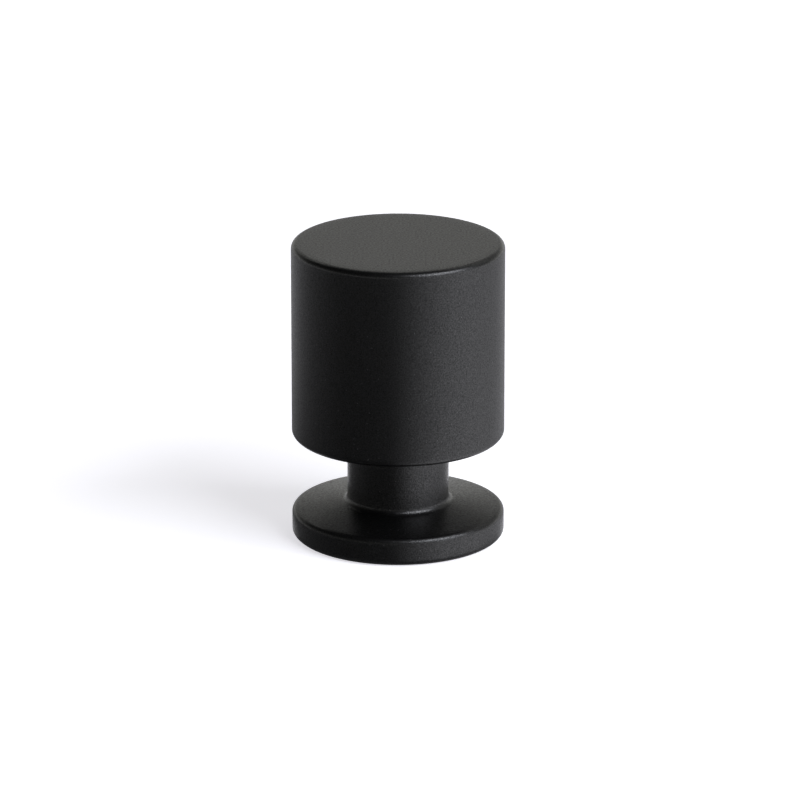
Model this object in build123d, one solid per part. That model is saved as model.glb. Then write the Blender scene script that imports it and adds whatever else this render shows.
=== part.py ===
from build123d import *

import os
from math import radians, tan

# Cabinet knob in one metal piece: a cylindrical head on a round neck above a disc base.
# Millimetres. The origin is the centre of the seat face that meets the furniture front,
# and +Z points away from that front, along the axis of the knob.

# Head
HEAD_DIAMETER = 25.0
HEAD_HEIGHT = 23.6
HEAD_TOP_EDGE_RADIUS = 0.7
HEAD_LOWER_CHAMFER = 0.55

# Neck, the floor of the finger groove between head and base
NECK_DIAMETER = 11.95
NECK_LENGTH = 7.95
NECK_FOOT_FILLET = 0.8

# Base: its thickness is that of the rim, and its top rises from there to the neck as a shallow cone
BASE_DIAMETER = 25.0
BASE_THICKNESS = 3.24
BASE_CROWN = 0.86
BASE_TOP_EDGE_RADIUS = 0.7
BASE_SEAT_CHAMFER = 0.45

# Blind screw hole under the base: tapping size for an M4 thread, with a countersunk mouth
TAPPING_DIAMETER = 3.3
HOLE_DEPTH = 11.0
DRILL_POINT_ANGLE = 118.0
COUNTERSINK_WIDTH = 0.75
COUNTERSINK_ANGLE = 90.0

# Largest share of a wall that one rounded or chamfered edge may take up
EDGE_SHARE = 0.48

# Rounding of a corner that stays sharp
SHARP = 0.0


def eased(size, *walls):
    """Size of a rounded or chamfered edge, limited by the shorter of the walls that meet there."""
    return min(size, EDGE_SHARE * min(walls))


def turned_body():
    """Head, neck and base as one revolved half section, each corner drawn with its own rounding."""
    head_radius = HEAD_DIAMETER / 2
    neck_radius = NECK_DIAMETER / 2
    base_radius = BASE_DIAMETER / 2
    neck_low = BASE_THICKNESS + BASE_CROWN
    head_low = neck_low + NECK_LENGTH
    head_top = head_low + HEAD_HEIGHT
    ledge = base_radius - neck_radius
    overhang = head_radius - neck_radius
    seat_cut = eased(BASE_SEAT_CHAMFER, base_radius, BASE_THICKNESS)
    lower_cut = eased(HEAD_LOWER_CHAMFER, overhang, HEAD_HEIGHT)
    corners = [
        ((base_radius - seat_cut, 0), SHARP),
        ((base_radius, seat_cut), SHARP),
        ((base_radius, BASE_THICKNESS), eased(BASE_TOP_EDGE_RADIUS, BASE_THICKNESS, ledge)),
        ((neck_radius, neck_low), eased(NECK_FOOT_FILLET, ledge, NECK_LENGTH)),
        ((neck_radius, head_low), SHARP),
        ((head_radius - lower_cut, head_low), SHARP),
        ((head_radius, head_low + lower_cut), SHARP),
        ((head_radius, head_top), eased(HEAD_TOP_EDGE_RADIUS, HEAD_HEIGHT, head_radius)),
    ]
    places = [place for place, rounding in corners]
    roundings = [rounding for place, rounding in corners]
    with BuildPart() as body:
        with BuildSketch(Plane.XZ):
            with BuildLine():
                outline = FilletPolyline((0, 0), *places, (0, head_top), radius=roundings)
                Line(outline @ 1, outline @ 0)
            make_face()
        revolve(axis=Axis.Z)
    return body.part


def screw_hole():
    """Space that the drill and the countersink leave: a cone, a straight wall and a pointed end."""
    wall_radius = TAPPING_DIAMETER / 2
    mouth_radius = wall_radius + COUNTERSINK_WIDTH
    wall_start = COUNTERSINK_WIDTH / tan(radians(COUNTERSINK_ANGLE / 2))
    point = HOLE_DEPTH + wall_radius / tan(radians(DRILL_POINT_ANGLE / 2))
    with BuildPart() as hole:
        with BuildSketch(Plane.XZ):
            with BuildLine():
                Polyline(
                    (0, 0),
                    (mouth_radius, 0),
                    (wall_radius, wall_start),
                    (wall_radius, HOLE_DEPTH),
                    (0, point),
                    close=True,
                )
            make_face()
        revolve(axis=Axis.Z)
    return hole.part


knob = turned_body() - screw_hole()
knob.label = "knob"

os.makedirs("parts", exist_ok=True)
export_step(knob, "parts/knob.step")
print(f"knob: {knob.volume:.1f} cubic mm, {knob.bounding_box().size.Z:.2f} mm tall")
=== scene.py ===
# %% [markdown]
# A cabinet knob, turned and coated
#
# The knob is one piece of metal: a cylindrical head on a short neck, above a disc base that is
# screwed against a door or drawer front. The solid is fixed already, at its real size, and this
# script gives it its visible surface: the turned shape, the thread in the screw hole, the black
# coat, and a small studio to look at it in. Everything is in metres, in the solid's own frame,
# with the seat face at height zero and the axis along +Z.

# %% Load the solid
import math

import bpy
import numpy as np
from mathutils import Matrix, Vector


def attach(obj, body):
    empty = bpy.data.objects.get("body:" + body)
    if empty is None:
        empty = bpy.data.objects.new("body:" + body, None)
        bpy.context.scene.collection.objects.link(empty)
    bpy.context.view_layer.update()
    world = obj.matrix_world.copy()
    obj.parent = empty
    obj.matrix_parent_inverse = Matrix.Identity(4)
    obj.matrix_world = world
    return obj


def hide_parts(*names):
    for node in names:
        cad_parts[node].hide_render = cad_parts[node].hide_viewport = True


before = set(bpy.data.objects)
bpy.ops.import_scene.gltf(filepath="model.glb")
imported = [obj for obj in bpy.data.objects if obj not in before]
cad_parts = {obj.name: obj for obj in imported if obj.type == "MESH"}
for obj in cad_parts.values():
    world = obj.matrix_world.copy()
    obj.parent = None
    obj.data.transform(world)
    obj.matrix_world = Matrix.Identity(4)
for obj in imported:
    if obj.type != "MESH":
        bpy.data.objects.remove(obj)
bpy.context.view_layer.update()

# %% [markdown]
# Measuring the solid
#
# A second set of sizes in this script could drift away from the solid, so the sizes are read
# from it. On a turned piece only two coordinates matter, the distance from the axis and the
# height. Level faces give the heights, upright walls give the radii, and the largest triangle
# on top of the base gives the slope of its shallow cone. A rounded edge follows from where a
# wall stops and where the sharp corner would be, and a chamfer runs from where one face stops
# to where the next begins.

# %% See the solid's triangles as radius and height
MM = 0.001
LEVEL = 0.9999
UPRIGHT = 0.001
SMALLEST_FACE = 10 * MM * MM
TOUCH = 0.001 * MM

solid_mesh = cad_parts["knob"].data
corners = np.array([vertex.co for vertex in solid_mesh.vertices])
triangles = np.array([face.vertices for face in solid_mesh.polygons])
rise = np.array([abs(face.normal.z) for face in solid_mesh.polygons])
areas = np.array([face.area for face in solid_mesh.polygons])
radii = np.hypot(corners[:, 0], corners[:, 1])[triangles]
heights = corners[:, 2][triangles]
print(len(triangles), "triangles in the solid")

# %% Level faces: seat, underside and top of the head
level_heights = np.round(heights.max(axis=1) / MM, 3)
level_faces = []
for height in np.unique(level_heights[rise > LEVEL]):
    here = (rise > LEVEL) & (level_heights == height)
    if areas[here].sum() > SMALLEST_FACE:
        level_faces.append((float(height) * MM, radii[here].min(), radii[here].max()))

seat, underside, top = level_faces
for height, inner, outer in level_faces:
    print(f"level at {height / MM:.2f} mm, radius {inner / MM:.2f} to {outer / MM:.2f} mm")


# %% Upright walls: hole, base, neck and head
def wall_between(low, high, inner, outer):
    """Radius, lowest and highest point of the upright wall inside those limits."""
    here = (heights.min(axis=1) > low - TOUCH) & (heights.max(axis=1) < high + TOUCH)
    here &= (rise < UPRIGHT) & (radii.min(axis=1) > inner) & (radii.max(axis=1) < outer)
    return radii[here].max(), heights[here].min(), heights[here].max()


mouth_radius = seat[1]
neck_limit = underside[1] + TOUCH
widest = 2 * radii.max()
hole_wall = wall_between(seat[0], top[0], 0, mouth_radius)
base_wall = wall_between(seat[0], underside[0], neck_limit, widest)
neck_wall = wall_between(seat[0], underside[0], mouth_radius, neck_limit)
head_wall = wall_between(underside[0], top[0], mouth_radius, widest)
for radius, low, high in (hole_wall, base_wall, neck_wall, head_wall):
    print(f"wall at radius {radius / MM:.2f} mm, height {low / MM:.2f} to {high / MM:.2f} mm")

# %% Cone on top of the base, between the base wall and the neck wall
on_crown = heights.min(axis=1) > base_wall[2] - TOUCH
on_crown &= heights.max(axis=1) < neck_wall[1] + TOUCH
on_crown &= radii.min(axis=1) > mouth_radius
largest = np.argmax(np.where(on_crown, areas, 0))
inner_end = radii[largest].argmin()
outer_end = radii[largest].argmax()
crown_width = radii[largest][outer_end] - radii[largest][inner_end]
crown_slope = (heights[largest][inner_end] - heights[largest][outer_end]) / crown_width
rim_top = heights[largest][outer_end] - crown_slope * (base_wall[0] - radii[largest][outer_end])
neck_foot = heights[largest][inner_end] + crown_slope * (radii[largest][inner_end] - neck_wall[0])
crown_turn = math.tan((math.pi / 2 - math.atan(crown_slope)) / 2)
print(f"cone from {rim_top / MM:.2f} mm at the rim to {neck_foot / MM:.2f} mm at the neck")

# %% [markdown]
# The sizes of the lathe
#
# These are the numbers that a turner would read off a drawing, named once and handed to the
# node tree below. The hole is drilled and tapped for an M4 screw: the solid has the plain wall
# of the tapping drill, and the thread is cut outwards from it. The drill leaves a cone of 118
# degrees at the end of the hole, and the tap stops a little short of it. The coat flows round sharp
# corners, so the chamfers are eased until only a narrow flat is left, and the inner corner under
# the head gets a small fillet.

# %% Name the sizes
DRILL_POINT_ANGLE = math.radians(118)
THREAD_RADIUS = 2.0 * MM
THREAD_PITCH = 0.7 * MM
THREAD_ROOT_FLAT = THREAD_PITCH / 8
THREAD_RINGS_PER_TURN = 12
TAP_CLEARANCE = 2 * THREAD_PITCH
FLANK_SLOPE = math.tan(math.radians(30))
CHAMFER_EASE = 1.45
INNER_CORNER_EASE = 0.3 * MM
RING_SPACING = 1.0 * MM

tapped_radius, mouth_depth, hole_depth = hole_wall
groove_depth = THREAD_RADIUS - tapped_radius
sizes = {
    "Head Radius": head_wall[0],
    "Head Top": top[0],
    "Head Underside": underside[0],
    "Head Top Edge": head_wall[0] - top[2],
    "Head Chamfer Top": head_wall[1],
    "Head Chamfer Radius": underside[2],
    "Head Chamfer Ease": CHAMFER_EASE * (head_wall[0] - underside[2]),
    "Neck Radius": neck_wall[0],
    "Neck Top Ease": INNER_CORNER_EASE,
    "Neck Foot": neck_foot,
    "Neck Foot Fillet": (neck_wall[1] - neck_foot) / crown_turn,
    "Base Radius": base_wall[0],
    "Base Rim Top": rim_top,
    "Base Top Edge": (rim_top - base_wall[2]) / crown_turn,
    "Seat Chamfer Top": base_wall[1],
    "Seat Radius": seat[2],
    "Seat Chamfer Ease": CHAMFER_EASE * (base_wall[0] - seat[2]),
    "Mouth Radius": mouth_radius,
    "Mouth Depth": mouth_depth,
    "Tapped Radius": tapped_radius,
    "Hole Depth": hole_depth,
    "Hole Point": hole_depth + tapped_radius / math.tan(DRILL_POINT_ANGLE / 2),
    "Groove Depth": groove_depth,
    "Groove Bottom": THREAD_ROOT_FLAT / 2,
    "Groove Half Width": THREAD_ROOT_FLAT / 2 + groove_depth * FLANK_SLOPE,
    "Thread Pitch": THREAD_PITCH,
    "Thread End": hole_depth - TAP_CLEARANCE,
    "Ring Spacing": RING_SPACING,
    "Thread Ring Spacing": THREAD_PITCH / THREAD_RINGS_PER_TURN,
}
counts = {"Segments": 160, "Edge Steps": 12}
for name, size in sizes.items():
    print(f"{name}: {size / MM:.3f} mm")

# %% [markdown]
# The node tree of the lathe
#
# A lathe makes a shape by one rule: every point of the half outline is carried round the axis.
# Geometry Nodes can hold that rule with the sizes as named inputs, so a size can be changed
# without touching a single vertex. Two small helpers keep the wiring readable: one adds a node
# and feeds its inputs, the other does arithmetic on sockets.

# %% Helpers for node trees
def feed(tree, socket, value):
    """Link a socket into an input, or set the input to a plain value."""
    if isinstance(value, bpy.types.NodeSocket):
        tree.links.new(value, socket)
    else:
        socket.default_value = value


def add(tree, kind, inputs=None, **settings):
    """Add a node, set its properties, then feed its inputs by name or place."""
    node = tree.nodes.new(kind)
    for name, value in settings.items():
        setattr(node, name, value)
    for name, value in (inputs or {}).items():
        feed(tree, node.inputs[name], value)
    return node


def maths(tree, operation, first, second=0.0):
    """Result socket of one Math node."""
    node = add(tree, "ShaderNodeMath", {0: first, 1: second}, operation=operation)
    return node.outputs[0]


# %% Start the tree and name its inputs
lathe = bpy.data.node_groups.new("Lathe with tapped hole", "GeometryNodeTree")
lathe.interface.new_socket("Geometry", in_out="OUTPUT", socket_type="NodeSocketGeometry")
for name in sizes:
    lathe.interface.new_socket(name, in_out="INPUT", socket_type="NodeSocketFloat")
for name in counts:
    lathe.interface.new_socket(name, in_out="INPUT", socket_type="NodeSocketInt")
for name in ("Coat", "Bare Metal"):
    lathe.interface.new_socket(name, in_out="INPUT", socket_type="NodeSocketMaterial")
given = add(lathe, "NodeGroupInput").outputs
print(len(given) - 1, "named inputs")

# %% [markdown]
# The half outline
#
# The outline needs only its corners: from the middle of the head's top, out and down round head,
# neck and base, then in across the seat and up into the screw hole. Each corner takes its radius,
# its height and its rounding from the named inputs. Fillet Curve then rounds every corner by its
# own radius, which keeps the edges true arcs, as a form tool would cut them.

# %% List the corners and round them
OUTLINE = [
    (None, "Head Top", None),
    ("Head Radius", "Head Top", "Head Top Edge"),
    ("Head Radius", "Head Chamfer Top", "Head Chamfer Ease"),
    ("Head Chamfer Radius", "Head Underside", "Head Chamfer Ease"),
    ("Neck Radius", "Head Underside", "Neck Top Ease"),
    ("Neck Radius", "Neck Foot", "Neck Foot Fillet"),
    ("Base Radius", "Base Rim Top", "Base Top Edge"),
    ("Base Radius", "Seat Chamfer Top", "Seat Chamfer Ease"),
    ("Seat Radius", None, "Seat Chamfer Ease"),
    ("Mouth Radius", None, None),
    ("Tapped Radius", "Mouth Depth", None),
    ("Tapped Radius", "Hole Depth", None),
    (None, "Hole Point", None),
]


def corner_values(column):
    """Socket that gives each corner, by its index, the input named in that column."""
    switch = add(lathe, "GeometryNodeIndexSwitch", data_type="FLOAT")
    while len(switch.index_switch_items) < len(OUTLINE):
        switch.index_switch_items.new()
    feed(lathe, switch.inputs["Index"], add(lathe, "GeometryNodeInputIndex").outputs[0])
    for place, corner in enumerate(OUTLINE):
        if corner[column]:
            feed(lathe, switch.inputs[1 + place], given[corner[column]])
    return switch.outputs[0]


corner_place = add(lathe, "ShaderNodeCombineXYZ", {"X": corner_values(0), "Z": corner_values(1)})
corner_points = add(
    lathe, "GeometryNodePoints", {"Count": len(OUTLINE), "Position": corner_place.outputs[0]}
)
sharp = add(lathe, "GeometryNodePointsToCurves", {"Points": corner_points.outputs[0]})
rounded = add(
    lathe,
    "GeometryNodeFilletCurve",
    {"Curve": sharp.outputs[0], "Count": given["Edge Steps"], "Radius": corner_values(2)},
    mode="POLY",
)
print(len(OUTLINE), "corners in the outline")

# %% [markdown]
# Rings along the outline
#
# Straight stretches are cut into short steps, so that the shading on a flat face isn't bent by the
# rounded edge beside it. The stretches inside the hole are cut much finer, because the thread
# needs about a dozen rings for each turn.

# %% Cut the straight stretches
HOLE_MARGIN = 0.01 * MM

outline_place = add(lathe, "GeometryNodeInputPosition").outputs[0]
outline_next = maths(lathe, "ADD", add(lathe, "GeometryNodeInputIndex").outputs[0], 1)
next_place = add(
    lathe,
    "GeometryNodeFieldAtIndex",
    {"Index": outline_next, "Value": outline_place},
    data_type="FLOAT_VECTOR",
)
stretch = add(
    lathe,
    "ShaderNodeVectorMath",
    {0: outline_place, 1: next_place.outputs[0]},
    operation="DISTANCE",
).outputs["Value"]


def in_hole(place_radius, place_height, depth):
    """One for points within the hole's mouth radius and below that depth, zero for the rest."""
    reach = maths(lathe, "ADD", given["Mouth Radius"], HOLE_MARGIN)
    narrow = maths(lathe, "LESS_THAN", place_radius, reach)
    low = maths(lathe, "LESS_THAN", place_height, depth)
    return maths(lathe, "MULTIPLY", narrow, low)


outline_parts = add(lathe, "ShaderNodeSeparateXYZ", {"Vector": outline_place}).outputs
inside = in_hole(outline_parts["X"], outline_parts["Z"], given["Hole Point"])
spacing = add(
    lathe,
    "GeometryNodeSwitch",
    {"Switch": inside, "False": given["Ring Spacing"], "True": given["Thread Ring Spacing"]},
    input_type="FLOAT",
).outputs[0]
cuts = maths(lathe, "FLOOR", maths(lathe, "DIVIDE", stretch, spacing))
rings = add(lathe, "GeometryNodeSubdivideCurve", {"Curve": rounded.outputs[0], "Cuts": cuts})
ring_count = add(
    lathe, "GeometryNodeAttributeDomainSize", {"Geometry": rings.outputs[0]}, component="CURVE"
).outputs["Point Count"]
print(f"rings up to {RING_SPACING / MM:.1f} mm apart")

# %% [markdown]
# Round the axis
#
# A flat grid has one row of vertices for each ring and one column for each step round the axis.
# Each vertex looks up its ring on the outline, and its column becomes an angle. The first and the
# last column meet, and the two ends of the outline lie on the axis, so merging by distance closes
# the seam and both poles.

# %% Look up ring and angle for every vertex
columns = maths(lathe, "ADD", given["Segments"], 1)
grid = add(lathe, "GeometryNodeMeshGrid", {"Vertices X": columns, "Vertices Y": ring_count})
index = add(lathe, "GeometryNodeInputIndex").outputs[0]
ring = maths(lathe, "FLOORED_MODULO", index, ring_count)
column = maths(lathe, "FLOOR", maths(lathe, "DIVIDE", index, ring_count))
turn = maths(lathe, "DIVIDE", column, given["Segments"])
angle = maths(lathe, "MULTIPLY", turn, math.tau)
ring_place = add(
    lathe,
    "GeometryNodeSampleIndex",
    {"Geometry": rings.outputs[0], "Index": ring, "Value": outline_place},
    data_type="FLOAT_VECTOR",
    domain="POINT",
).outputs[0]
ring_parts = add(lathe, "ShaderNodeSeparateXYZ", {"Vector": ring_place}).outputs
ring_radius, ring_height = ring_parts["X"], ring_parts["Z"]
print(counts["Segments"], "steps round the axis")

# %% [markdown]
# The thread
#
# A thread is a groove that climbs by one pitch in each turn. Height divided by pitch, less the
# turn, says where a point lies across the groove, and the distance to its middle gives the depth:
# full at the bottom flat, none on the crest, with straight flanks between. The last turn fades
# out, as it does where a tap stops. A bump map would do for a distant view, but the screw hole is
# open to the eye from below, so the groove is real.

# %% Cut the groove outwards from the tapped wall
climb = maths(lathe, "SUBTRACT", maths(lathe, "DIVIDE", ring_height, given["Thread Pitch"]), turn)
across = maths(lathe, "SUBTRACT", maths(lathe, "FRACT", climb), 0.5)
from_middle = maths(lathe, "MULTIPLY", maths(lathe, "ABSOLUTE", across), given["Thread Pitch"])
groove = add(
    lathe,
    "ShaderNodeMapRange",
    {
        "Value": from_middle,
        "From Min": given["Groove Bottom"],
        "From Max": given["Groove Half Width"],
        "To Min": given["Groove Depth"],
        "To Max": 0.0,
    },
).outputs[0]
fade_end = maths(lathe, "ADD", given["Thread End"], given["Thread Pitch"])
fade = add(
    lathe,
    "ShaderNodeMapRange",
    {
        "Value": ring_height,
        "From Min": given["Thread End"],
        "From Max": fade_end,
        "To Min": 1.0,
        "To Max": 0.0,
    },
).outputs[0]
thread_radius = maths(lathe, "ADD", given["Tapped Radius"], maths(lathe, "MULTIPLY", groove, fade))
missing = maths(lathe, "MAXIMUM", maths(lathe, "SUBTRACT", thread_radius, ring_radius), 0.0)
cut = maths(lathe, "MULTIPLY", missing, in_hole(ring_radius, ring_height, given["Hole Depth"]))
turned_radius = maths(lathe, "ADD", ring_radius, cut)
print(f"thread {groove_depth / MM:.2f} mm deep, {THREAD_PITCH / MM:.1f} mm pitch")

# %% Place the vertices, close the seam and finish the tree
MERGE_DISTANCE = 0.0001 * MM

turned_place = add(
    lathe,
    "ShaderNodeCombineXYZ",
    {
        "X": maths(lathe, "MULTIPLY", turned_radius, maths(lathe, "COSINE", angle)),
        "Y": maths(lathe, "MULTIPLY", turned_radius, maths(lathe, "SINE", angle)),
        "Z": ring_height,
    },
)
turned = add(
    lathe,
    "GeometryNodeSetPosition",
    {"Geometry": grid.outputs[0], "Position": turned_place.outputs[0]},
)
closed = add(
    lathe,
    "GeometryNodeMergeByDistance",
    {"Geometry": turned.outputs[0], "Distance": MERGE_DISTANCE},
)
smooth = add(lathe, "GeometryNodeSetShadeSmooth", {"Geometry": closed.outputs[0]})
coated = add(
    lathe,
    "GeometryNodeSetMaterial",
    {"Geometry": smooth.outputs[0], "Material": given["Coat"]},
)
vertex_parts = add(lathe, "ShaderNodeSeparateXYZ", {"Vector": outline_place}).outputs
axis_distance = maths(
    lathe,
    "SQRT",
    maths(
        lathe,
        "ADD",
        maths(lathe, "MULTIPLY", vertex_parts["X"], vertex_parts["X"]),
        maths(lathe, "MULTIPLY", vertex_parts["Y"], vertex_parts["Y"]),
    ),
)
bared = add(
    lathe,
    "GeometryNodeSetMaterial",
    {
        "Geometry": coated.outputs[0],
        "Selection": in_hole(axis_distance, vertex_parts["Z"], given["Hole Point"]),
        "Material": given["Bare Metal"],
    },
)
realized = add(lathe, "GeometryNodeRealizeInstances", {"Geometry": bared.outputs[0]})
add(lathe, "NodeGroupOutput", {0: realized.outputs[0]})
print(len(lathe.nodes), "nodes in the lathe")

# %% [markdown]
# The black coat
#
# The knob has a matt black powder coat. Close up it is not one flat colour: the powder melts into
# a fine grain of about a sixth of a millimetre, over a softer waviness of one or two millimetres,
# and a few tiny pale spots are painted into the colour as glints, painted highlights of the grain.
# On level faces, where the powder settles, the grain is coarser. In the finger groove and on the
# base, where the spray reaches badly, it is rougher, and the painted glints are far more frequent
# low down than on the head. The grain and the waviness are bumps. The tops of the grain are also
# smoother and shine more than the pits, which still shows where a bump is too small to see, and
# the waviness clouds the colour a little. All patterns read Object coordinates, so they keep their
# real size.

# %% Values of the coat
COAT_DARK = (0.0016, 0.0016, 0.0016, 1.0)
COAT_PALE = (0.0028, 0.0028, 0.0028, 1.0)
COAT_DETAIL = 1.0
GRAIN_SIZE = 0.16 * MM
SETTLED_GRAIN_SIZE = 0.22 * MM
SETTLED_NORMAL = (0.6, 0.95)
GRAIN_RANGE = (0.25, 0.75)
GRAIN_ROUGHNESS = (0.44, 0.27)
GRAIN_SPECULAR = (0.3, 0.72)
GRAIN_HEIGHT = 0.12 * MM
GROOVE_GRAIN_BUMP = 0.24
HEAD_GRAIN_BUMP = 0.13
SETTLED_GRAIN_BUMP = 0.2
WAVE_SIZE = 1.6 * MM
WAVE_HEIGHT = 0.02 * MM
WAVE_BUMP = 0.03
# Painted glints: pale spots in the colour stand in for the sparkle of the grain, more of them low
# down.
PAINTED_GLINT_COLOUR = (0.11, 0.11, 0.112, 1.0)
GLINT_SPACING = 0.6 * MM
GLINT_RADIUS = 0.055 * MM
GLINT_SHARE_LOW = 0.75
GLINT_SHARE_HIGH = 0.05
print(f"grain of {GRAIN_SIZE / MM:.2f} mm, on level faces {SETTLED_GRAIN_SIZE / MM:.2f} mm")


# %% Helpers for materials
def map_range(tree, value, from_range, to_range):
    """Result socket of a Map Range node, held to its limits."""
    node = add(
        tree,
        "ShaderNodeMapRange",
        {
            "Value": value,
            "From Min": from_range[0],
            "From Max": from_range[1],
            "To Min": to_range[0],
            "To Max": to_range[1],
        },
    )
    return node.outputs[0]


def mix(tree, factor, first, second):
    """Result socket of a Mix node for two numbers."""
    node = add(tree, "ShaderNodeMix", {"Factor": factor, 2: first, 3: second}, data_type="FLOAT")
    return node.outputs[0]


def mix_colour(tree, factor, first, second):
    """Result socket of a Mix node for two colours."""
    node = add(tree, "ShaderNodeMix", {"Factor": factor, 6: first, 7: second}, data_type="RGBA")
    return node.outputs[2]


def noise(tree, place, size, detail):
    """Value socket of a noise with features of about that size."""
    node = add(tree, "ShaderNodeTexNoise", {"Vector": place, "Scale": 1 / size, "Detail": detail})
    return node.outputs["Fac"]


def new_material(name):
    """Empty node material with its tree and its output node."""
    material = bpy.data.materials.new(name)
    material.use_nodes = True
    material.node_tree.nodes.clear()
    return material, material.node_tree, material.node_tree.nodes.new("ShaderNodeOutputMaterial")


# %% Powder coat material
def powder_coat():
    """Matt black coat with grain, waviness, cloudiness and a few painted glints."""
    material, tree, output = new_material("black_powder_coat")
    coordinates = add(tree, "ShaderNodeTexCoord").outputs
    place = coordinates["Object"]
    fine_grain = noise(tree, place, GRAIN_SIZE, COAT_DETAIL)
    settled_grain = noise(tree, place, SETTLED_GRAIN_SIZE, COAT_DETAIL)
    facing_up = add(tree, "ShaderNodeSeparateXYZ", {"Vector": coordinates["Normal"]}).outputs["Z"]
    settled = map_range(tree, facing_up, SETTLED_NORMAL, (0.0, 1.0))
    grain = mix(tree, settled, fine_grain, settled_grain)
    wave = noise(tree, place, WAVE_SIZE, COAT_DETAIL)
    # Painted glints: pale spots in the base colour, painted highlights of the grain, more of them
    # low down.
    glint_cells = add(
        tree, "ShaderNodeTexVoronoi", {"Vector": place, "Scale": 1 / GLINT_SPACING}
    ).outputs
    lot = add(tree, "ShaderNodeSeparateXYZ", {"Vector": glint_cells["Color"]}).outputs["X"]
    height = add(tree, "ShaderNodeSeparateXYZ", {"Vector": place}).outputs["Z"]
    head_span = (sizes["Head Underside"], sizes["Head Top"])
    share = map_range(tree, height, head_span, (GLINT_SHARE_LOW, GLINT_SHARE_HIGH))
    chosen = maths(tree, "LESS_THAN", lot, share)
    edge = GLINT_RADIUS / GLINT_SPACING
    spot = map_range(tree, glint_cells["Distance"], (edge, edge / 2), (0.0, 1.0))
    painted_glint = maths(tree, "MULTIPLY", chosen, spot)
    cloud = mix_colour(tree, wave, COAT_DARK, COAT_PALE)
    colour = mix_colour(tree, painted_glint, cloud, PAINTED_GLINT_COLOUR)
    head_edge = (sizes["Head Underside"], sizes["Head Chamfer Top"])
    upright_strength = map_range(tree, height, head_edge, (GROOVE_GRAIN_BUMP, HEAD_GRAIN_BUMP))
    grain_strength = mix(tree, settled, upright_strength, SETTLED_GRAIN_BUMP)
    wave_bump = add(
        tree, "ShaderNodeBump", {"Height": wave, "Strength": WAVE_BUMP, "Distance": WAVE_HEIGHT}
    ).outputs[0]
    grain_bump = add(
        tree,
        "ShaderNodeBump",
        {
            "Height": grain,
            "Strength": grain_strength,
            "Distance": GRAIN_HEIGHT,
            "Normal": wave_bump,
        },
    ).outputs[0]
    coat = add(
        tree,
        "ShaderNodeBsdfPrincipled",
        {
            "Base Color": colour,
            "Roughness": map_range(tree, grain, GRAIN_RANGE, GRAIN_ROUGHNESS),
            "Specular IOR Level": map_range(tree, grain, GRAIN_RANGE, GRAIN_SPECULAR),
            "Normal": grain_bump,
        },
    )
    feed(tree, output.inputs["Surface"], coat.outputs[0])
    return material


coat_material = powder_coat()
print("coat:", len(coat_material.node_tree.nodes), "nodes")

# %% [markdown]
# Bare metal in the screw hole
#
# A coat would clog the thread, so the hole is plugged while the knob is coated and stays bare
# zinc. Drill and tap leave fine marks. Lines that follow the turn would need a surface map, and in
# a hole of this size a fine grain in colour, roughness and bump is enough.

# %% Bare zinc material
ZINC_DARK = (0.36, 0.36, 0.37, 1.0)
ZINC_PALE = (0.52, 0.52, 0.53, 1.0)
MARK_SIZE = 0.15 * MM
MARK_DETAIL = 3.0
MARK_RANGE = (0.3, 0.7)
MARK_ROUGHNESS = (0.3, 0.45)
MARK_HEIGHT = 0.01 * MM
MARK_BUMP = 0.15


def bare_zinc():
    """Tapped zinc: bright metal with fine tool marks."""
    material, tree, output = new_material("bare_zinc")
    place = add(tree, "ShaderNodeTexCoord").outputs["Object"]
    marks = noise(tree, place, MARK_SIZE, MARK_DETAIL)
    colour = mix_colour(tree, marks, ZINC_DARK, ZINC_PALE)
    bump = add(
        tree, "ShaderNodeBump", {"Height": marks, "Strength": MARK_BUMP, "Distance": MARK_HEIGHT}
    ).outputs[0]
    metal = add(
        tree,
        "ShaderNodeBsdfPrincipled",
        {
            "Base Color": colour,
            "Metallic": 1.0,
            "Roughness": map_range(tree, marks, MARK_RANGE, MARK_ROUGHNESS),
            "Normal": bump,
        },
    )
    feed(tree, output.inputs["Surface"], metal.outputs[0])
    return material


zinc_material = bare_zinc()
print("zinc:", len(zinc_material.node_tree.nodes), "nodes")

# %% [markdown]
# From node tree to piece
#
# The modifier's inputs are set by the identifiers that the tree gave them. A Weighted Normal
# modifier after it leaves the flats flat up to their rounded edges. The evaluated result becomes a
# plain mesh, which then stands for the solid: it rides on the same body, and the solid is hidden.

# %% Run the lathe
blank = bpy.data.objects.new("coated_knob", bpy.data.meshes.new("blank"))
bpy.context.scene.collection.objects.link(blank)
turning = blank.modifiers.new("Turning", "NODES")
turning.node_group = lathe
settings = {**sizes, **counts, "Coat": coat_material, "Bare Metal": zinc_material}
for socket in lathe.interface.items_tree:
    if socket.in_out == "INPUT":
        turning[socket.identifier] = settings[socket.name]
normals = blank.modifiers.new("Flat flats", "WEIGHTED_NORMAL")
normals.keep_sharp = True

evaluated = blank.evaluated_get(bpy.context.evaluated_depsgraph_get())
knob_mesh = bpy.data.meshes.new_from_object(evaluated)
knob_mesh.name = "coated_knob"
blank.modifiers.clear()
blank.data = knob_mesh
knob = blank
print(len(knob_mesh.vertices), "vertices,", len(knob_mesh.polygons), "faces")

# %% Check that the shell is closed and faces outwards
edge_uses = {}
volume = 0.0
for face in knob_mesh.polygons:
    ring_of_places = [knob_mesh.vertices[i].co for i in face.vertices]
    for second, third in zip(ring_of_places[1:], ring_of_places[2:]):
        volume += ring_of_places[0].dot(second.cross(third)) / 6
    for key in face.edge_keys:
        edge_uses[key] = edge_uses.get(key, 0) + 1
open_edges = sum(1 for uses in edge_uses.values() if uses != 2)
print(f"volume {volume / MM ** 3:.0f} cubic mm, {open_edges} open edges")

# %% Let the piece stand for the solid
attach(knob, "root")
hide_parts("knob")
print(knob.name, "stands for the solid")

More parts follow.
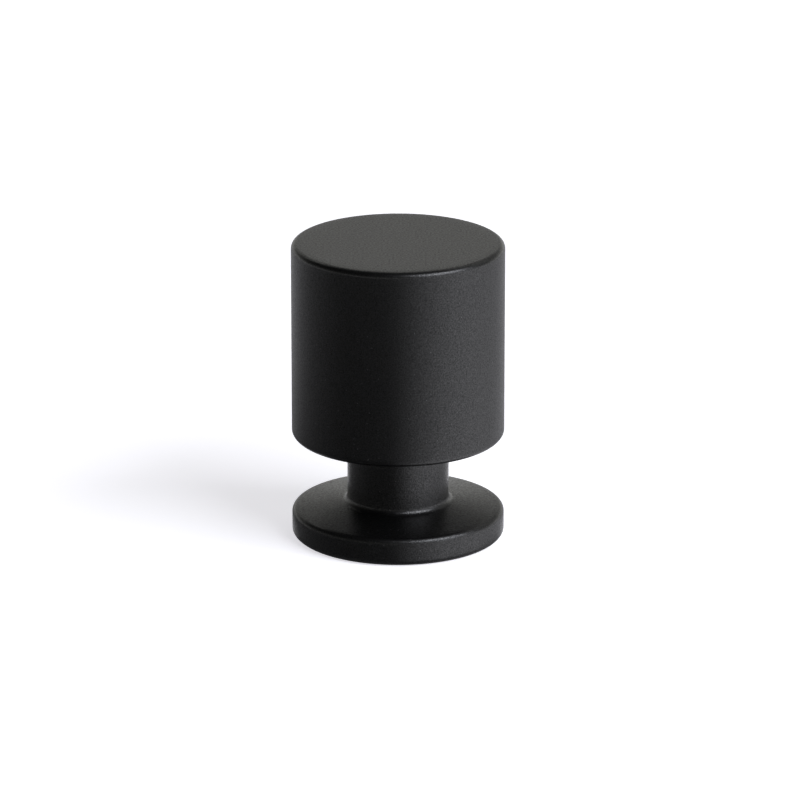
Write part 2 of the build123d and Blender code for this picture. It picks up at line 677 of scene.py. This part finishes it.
# %% [markdown]
# Floor
#
# The knob stands on a white sweep. The lamps alone would leave it a pale grey, so the camera and
# reflections also see a plain glow that brings it up to white. The glow lights no matt surface.
# Reflections see more of it than the camera does: the right side of the knob mirrors a floor that
# is brighter than white, while the floor itself stays low enough to keep the knob's soft shadow.

# %% White floor
FLOOR_RADIUS = 2.2
FLOOR_GAP = 0.05 * MM
ARC_POINTS = 97
FLOOR_WHITE = (0.8, 0.8, 0.8, 1.0)
GLOW_SEEN = 0.68
GLOW_MIRRORED = 0.97
GLOW_COLOUR = (0.965, 0.957, 1.0, 1.0)


def white_sweep():
    """Matt white, with a glow for the camera and for reflections."""
    material, tree, output = new_material("white_sweep")
    lit = add(tree, "ShaderNodeBsdfDiffuse", {"Color": FLOOR_WHITE})
    path = add(tree, "ShaderNodeLightPath").outputs
    mirrored = maths(tree, "MAXIMUM", path["Is Glossy Ray"], path["Is Transmission Ray"])
    strength = maths(
        tree,
        "MAXIMUM",
        maths(tree, "MULTIPLY", path["Is Camera Ray"], GLOW_SEEN),
        maths(tree, "MULTIPLY", mirrored, GLOW_MIRRORED),
    )
    glow = add(tree, "ShaderNodeEmission", {"Color": GLOW_COLOUR, "Strength": strength})
    both = add(tree, "ShaderNodeAddShader", {0: lit.outputs[0], 1: glow.outputs[0]})
    feed(tree, output.inputs["Surface"], both.outputs[0])
    return material


def sheet(name, arcs, height, material):
    """Level sheet round the axis through arcs, each a radius with its first and last azimuth.

    Azimuths are in degrees, from the front towards the right.
    """
    rims = []
    for radius, start, stop in arcs:
        azimuths = np.radians(np.linspace(start, stop, ARC_POINTS))
        rims.append(radius * np.stack([np.sin(azimuths), -np.cos(azimuths)], axis=1))
    places = [(x, y, height) for x, y in np.concatenate(rims)]
    faces = []
    for first in range(0, ARC_POINTS * (len(arcs) - 1), ARC_POINTS):
        for i in range(first, first + ARC_POINTS - 1):
            faces.append((i, i + ARC_POINTS, i + ARC_POINTS + 1, i + 1))
    mesh = bpy.data.meshes.new(name)
    mesh.from_pydata(places, [], faces)
    mesh.materials.append(material)
    flat = bpy.data.objects.new(name, mesh)
    bpy.context.scene.collection.objects.link(flat)
    return flat


floor = sheet("floor", [(0.0, 0, 360), (FLOOR_RADIUS, 0, 360)], -FLOOR_GAP, white_sweep())
print(f"{floor.name}: {2 * FLOOR_RADIUS:.1f} m across")

# %% [markdown]
# A graded card
#
# A black coat shows its surroundings more than its own colour, and on a white floor all of it would
# turn grey. So a dark card lies on the floor round the knob, as a photographer would flag a glossy
# black thing, and it also paints shade into the reflections: the floor's glow carries no shadow, so
# the card stands in for the knob's own shadow on the floor beside it. It covers the floor well in
# front and on the left and thins out towards the right, where the white floor is mirrored. An
# upright wall mirrors the floor at twice its own azimuth, so the card's rays start beside the base
# at half the azimuth that they have far away. A narrow ring of it runs under the front of the base
# and is dark
# almost to its ends: it is a painted contact shadow, because the eased lower edge mirrors the floor
# right beside it. The card is there for reflections alone: the camera doesn't see it, and it
# neither shades the floor nor lights it.

# %% Shape of the card: covers by azimuth, then each arc's radius, share of the turn and cover
CARD_LIFT = 0.02 * MM
NEAR_COVER = {-180: 0.82, -120: 0.93, -60: 0.99, -5: 0.98, 52: 0.0, 95: 0.05, 130: 0.52, 180: 0.67}
FAR_COVER = {-180: 0.56, -120: 0.79, -60: 0.99, -2: 0.99, 64: 0.0, 90: 0.1, 130: 0.6, 180: 0.58}
# Painted contact shadow: the ring under the base's eased edge, dark in reflections.
CONTACT_SHADOW_COVER = {-180: 0.0, -150: 0.9, 0: 0.92, 50: 0.8, 150: 0.8, 180: 0.0}
CARD_ARCS = [
    (sizes["Seat Radius"] - 0.2 * MM, 0.5, CONTACT_SHADOW_COVER),
    (sizes["Base Radius"] + 0.4 * MM, 0.5, CONTACT_SHADOW_COVER),
    (sizes["Base Radius"] + 1.5 * MM, 0.52, NEAR_COVER),
    (30 * MM, 0.8, NEAR_COVER),
    (90 * MM, 0.93, FAR_COVER),
    (500 * MM, 1.0, FAR_COVER),
]
print("card:", len(CARD_ARCS), "arcs")

# %% Dark card that paints shade into the reflections
# Painted shade: the grey that reflections see where the knob's shadow would lie on the floor.
REFLECTED_SHADE_GREY = (0.09, 0.09, 0.09, 1.0)

card_material, card_tree, card_output = new_material("reflected_shade_card")
card_shade = add(card_tree, "ShaderNodeBsdfDiffuse", {"Color": REFLECTED_SHADE_GREY})
card_clear = add(card_tree, "ShaderNodeBsdfTransparent")
card_cover = add(card_tree, "ShaderNodeAttribute", attribute_name="cover")
card_surface = add(
    card_tree,
    "ShaderNodeMixShader",
    {0: card_cover.outputs["Fac"], 1: card_clear.outputs[0], 2: card_shade.outputs[0]},
)
feed(card_tree, card_output.inputs["Surface"], card_surface.outputs[0])
card = sheet(
    "reflected_shade_card",
    [(radius, -180 * bend, 180 * bend) for radius, bend, cover in CARD_ARCS],
    CARD_LIFT - FLOOR_GAP,
    card_material,
)
ray_azimuths = np.linspace(-180, 180, ARC_POINTS)
covers = [
    np.interp(ray_azimuths, list(cover), list(cover.values()))
    for radius, bend, cover in CARD_ARCS
]
card_cover_values = card.data.attributes.new("cover", "FLOAT", "POINT")
card_cover_values.data.foreach_set("value", np.concatenate(covers).astype(np.float32))
card.visible_camera = False
card.visible_diffuse = False
card.visible_shadow = False
card.visible_transmission = False
print(f"{card.name}: {len(card.data.polygons)} faces")

# %% [markdown]
# Lamps and room
#
# A high softbox on the right draws the bright lines along the rounded edges and in the foot of the
# neck, and lights the floor. A weak low one under it brightens the right-hand outline, and a weak
# one high up behind softens the shadow. The strong light stays high up, because from the far side
# the flat top would mirror a strong low lamp and turn white. The room itself is dark above, faintly
# pale all round near the floor and paler low down behind, which shows in the top of the head. Lamps
# are placed by the direction and the angles under which the knob sees them, and by their radiance,
# because that is what a reflection shows.

# %% Three softboxes
LAMP_DISTANCE = 1.5
COOL_WHITE = (0.95, 0.97, 1.04)
WARM_WHITE = (1.0, 1.0, 0.96)
aim = Vector((0, 0, sizes["Head Top"] / 2))


def softbox(name, colour, azimuth, elevation, breadth, height, radiance):
    """Rectangular lamp that faces the knob; directions and angles in degrees."""
    azimuth, elevation = math.radians(azimuth), math.radians(elevation)
    way = Vector((
        math.sin(azimuth) * math.cos(elevation),
        -math.cos(azimuth) * math.cos(elevation),
        math.sin(elevation),
    ))
    light = bpy.data.lights.new(name, "AREA")
    light.shape = "RECTANGLE"
    light.color = colour
    light.size = 2 * LAMP_DISTANCE * math.tan(math.radians(breadth / 2))
    light.size_y = 2 * LAMP_DISTANCE * math.tan(math.radians(height / 2))
    light.energy = radiance * math.pi * light.size * light.size_y
    lamp = bpy.data.objects.new(name, light)
    lamp.location = aim + way * LAMP_DISTANCE
    lamp.rotation_euler = (-way).to_track_quat("-Z", "Y").to_euler()
    lamp.visible_camera = False
    bpy.context.scene.collection.objects.link(lamp)
    print(f"{name}: {light.size:.2f} by {light.size_y:.2f} m, {light.energy:.0f} W")


softbox("low_softbox", COOL_WHITE, azimuth=63, elevation=10, breadth=64, height=20, radiance=1.2)
softbox("high_softbox", COOL_WHITE, azimuth=54, elevation=42, breadth=44, height=26, radiance=7.4)
softbox("back_softbox", WARM_WHITE, azimuth=165, elevation=46, breadth=80, height=18, radiance=0.8)

# %% Room: dark above, pale low down behind, white along the horizon
ROOM_DARK = 0.02
ROOM_SIDE = 0.15
ROOM_BACK = 1.05
BACK_AZIMUTH = math.radians(165)
SIDE_TO_BACK = (0.2, 0.95)
PALE_RISE = (0.14, 0.44)
HORIZON_RISE = (0.07, 0.09)


def seen_directly(tree):
    """One for what camera, reflections and refractions see, zero for rays that carry light."""
    path = add(tree, "ShaderNodeLightPath").outputs
    seen = maths(tree, "MAXIMUM", path["Is Camera Ray"], path["Is Glossy Ray"])
    return maths(tree, "MAXIMUM", seen, path["Is Transmission Ray"])


world = bpy.data.worlds.new("studio")
bpy.context.scene.world = world
world.use_nodes = True
room = world.node_tree
room.nodes.clear()
way = add(room, "ShaderNodeTexCoord").outputs["Generated"]
way_parts = add(room, "ShaderNodeSeparateXYZ", {"Vector": way}).outputs
facing = add(
    room,
    "ShaderNodeVectorMath",
    {0: way, 1: (math.sin(BACK_AZIMUTH), -math.cos(BACK_AZIMUTH), 0.0)},
    operation="DOT_PRODUCT",
).outputs["Value"]
behind = map_range(room, facing, SIDE_TO_BACK, (ROOM_SIDE, ROOM_BACK))
low_down = map_range(room, way_parts["Z"], PALE_RISE, (1.0, 0.0))
pale = maths(room, "MAXIMUM", maths(room, "MULTIPLY", behind, low_down), ROOM_DARK)
horizon = map_range(room, way_parts["Z"], HORIZON_RISE, (1.0, 0.0))
white_rim = maths(room, "MULTIPLY", horizon, seen_directly(room))
brightness = maths(room, "MAXIMUM", pale, white_rim)
sky = add(room, "ShaderNodeBackground", {"Color": (*WARM_WHITE, 1.0), "Strength": brightness})
feed(room, add(room, "ShaderNodeOutputWorld").inputs["Surface"], sky.outputs[0])
print("room:", len(room.nodes), "nodes")

# %% [markdown]
# Camera
#
# The knob is seen from far away with a long lens, from a little above: its top shows as a flat
# ellipse and its upright sides stay nearly parallel. The distance, the lens and the angle follow
# from how much the ellipses of head and base differ.

# %% Set the camera
CAMERA_ELEVATION = math.radians(18.27)
CAMERA_DISTANCE = 0.6943
CAMERA_LENS = 265.95
SENSOR_WIDTH = 36.0
NEAREST_SEEN = 0.01
FARTHEST_SEEN = 10.0
AIM_HEIGHT = 16.315 * MM
SIDE_STEP = 0.23 * MM

camera_data = bpy.data.cameras.new("camera")
camera_data.lens = CAMERA_LENS
camera_data.sensor_width = SENSOR_WIDTH
camera_data.clip_start = NEAREST_SEEN
camera_data.clip_end = FARTHEST_SEEN
camera =bpy.data.objects.new("camera", camera_data)
camera_back = Vector((0, -math.cos(CAMERA_ELEVATION), math.sin(CAMERA_ELEVATION)))
camera.location = Vector((SIDE_STEP, 0, AIM_HEIGHT)) + camera_back * CAMERA_DISTANCE
camera.rotation_euler = (-camera_back).to_track_quat("-Z", "Y").to_euler()
bpy.context.scene.collection.objects.link(camera)
bpy.context.scene.camera = camera
bpy.context.scene.view_settings.view_transform = "Standard"
print(f"camera {CAMERA_DISTANCE:.2f} m away with a lens of {CAMERA_LENS:.0f} mm")
